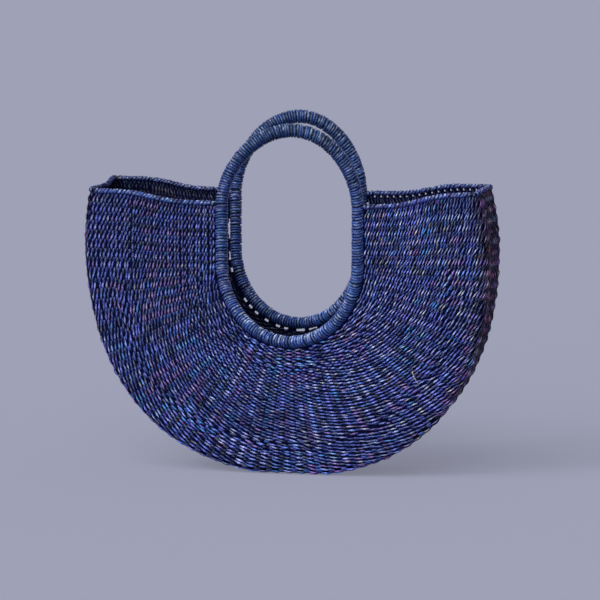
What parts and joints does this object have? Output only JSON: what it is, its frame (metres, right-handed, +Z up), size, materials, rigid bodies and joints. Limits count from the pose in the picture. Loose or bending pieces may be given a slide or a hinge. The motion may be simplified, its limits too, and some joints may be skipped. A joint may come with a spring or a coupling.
{
  "type": "half moon bag",
  "caption": "Half moon basket bag: two twined walls hung from wound oval ring handles, joined by a curved gusset, with a bound rim and a soft open mouth.",
  "frame": {"origin": "under the middle of the bag, on the surface it stands on", "axes": "+Z up, +X to the right along the width, -Y out of the front wall"},
  "size_m": [0.3912, 0.0976, 0.3402],
  "materials": {
    "twined_straw": "twined dyed grass straw, satin",
    "wound_straw": "wound dyed grass straw, satin",
    "stem_bundle": "undyed grass stems, matt"
  },
  "bodies": {
    "base": {"front_gusset": "twined_straw", "front_left_end_core": "stem_bundle", "front_left_end_binding": "wound_straw", "front_right_end_core": "stem_bundle", "front_right_end_binding": "wound_straw", "back_gusset": "twined_straw", "back_left_end_core": "stem_bundle", "back_left_end_binding": "wound_straw", "back_right_end_core": "stem_bundle", "back_right_end_binding": "wound_straw", "gusset_seam": "twined_straw"},
    "front_side": {"front_ring_core": "stem_bundle", "front_ring_binding": "wound_straw", "front_grip_wrap": "wound_straw", "front_panel": "twined_straw", "front_left_rim_core": "stem_bundle", "front_left_rim_binding": "wound_straw", "front_right_rim_core": "stem_bundle", "front_right_rim_binding": "wound_straw"},
    "back_side": {"back_ring_core": "stem_bundle", "back_ring_binding": "wound_straw", "back_grip_wrap": "wound_straw", "back_panel": "twined_straw", "back_left_rim_core": "stem_bundle", "back_left_rim_binding": "wound_straw", "back_right_rim_core": "stem_bundle", "back_right_rim_binding": "wound_straw"}
  },
  "joints": [
    {"name": "front_lean", "type": "hinge", "parent": "base", "child": "front_side", "pos_m": [0, -0.04, 0.003], "axis": [1, 0, 0], "range_deg": [-6, 4], "stiffness_Nm_per_rad": 4, "deforming": ["front_gusset", "front_left_end_core", "front_left_end_binding", "front_right_end_core", "front_right_end_binding"]},
    {"name": "back_lean", "type": "hinge", "parent": "base", "child": "back_side", "pos_m": [0, 0.04, 0.003], "axis": [-1, 0, 0], "range_deg": [-6, 4], "stiffness_Nm_per_rad": 4, "deforming": ["back_gusset", "back_left_end_core", "back_left_end_binding", "back_right_end_core", "back_right_end_binding"]}
  ]
}
